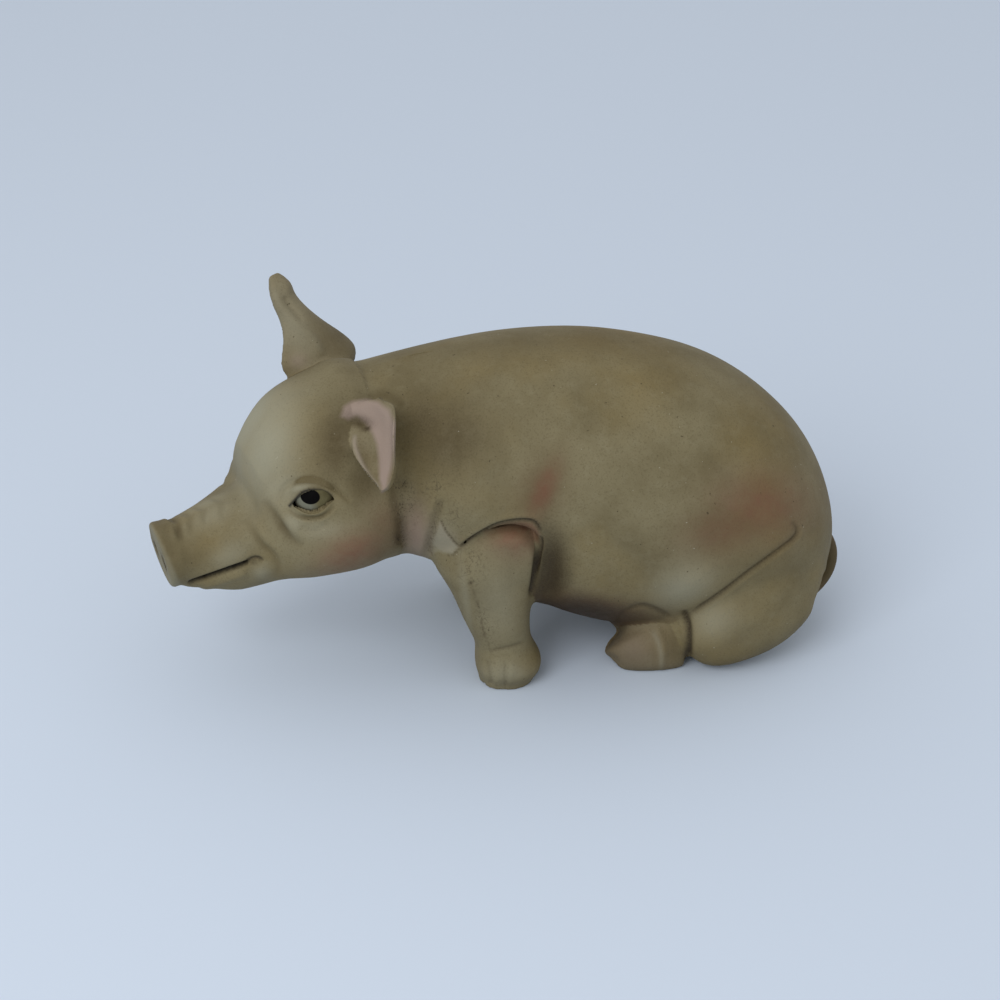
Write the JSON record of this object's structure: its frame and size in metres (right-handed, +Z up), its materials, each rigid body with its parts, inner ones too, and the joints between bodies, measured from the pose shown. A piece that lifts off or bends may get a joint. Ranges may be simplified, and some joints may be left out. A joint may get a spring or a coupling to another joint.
{
  "type": "pig figurine",
  "caption": "Sitting pig ornament, cast in glued pieces, with its head turned, one ear raised and one drooping; stands free on a shelf.",
  "frame": {"origin": "on the surface it stands on, under the middle of its bounding box", "axes": "+Z up, +X towards the rump so that the pig faces -X, -Y to the pig's left side"},
  "size_m": [0.2572, 0.105, 0.1356],
  "materials": {
    "skin": "matt painted cast resin",
    "eye": "painted, slightly glossy",
    "ear": "matt painted cast resin",
    "leg": "matt painted cast resin",
    "trotter": "matt painted cast resin",
    "tail": "matt painted cast resin",
    "filler": "bare matt filler"
  },
  "bodies": {
    "root": {"trunk": "skin", "head": "skin", "left_eye": "eye", "right_eye": "eye", "left_ear": "ear", "right_ear": "ear", "left_front_leg": "leg", "right_front_leg": "leg", "left_hind_leg": "leg", "right_hind_leg": "leg", "left_hind_foot": "trotter", "right_hind_foot": "trotter", "tail": "tail", "shoulder_filler": "filler"}
  },
  "joints": []
}
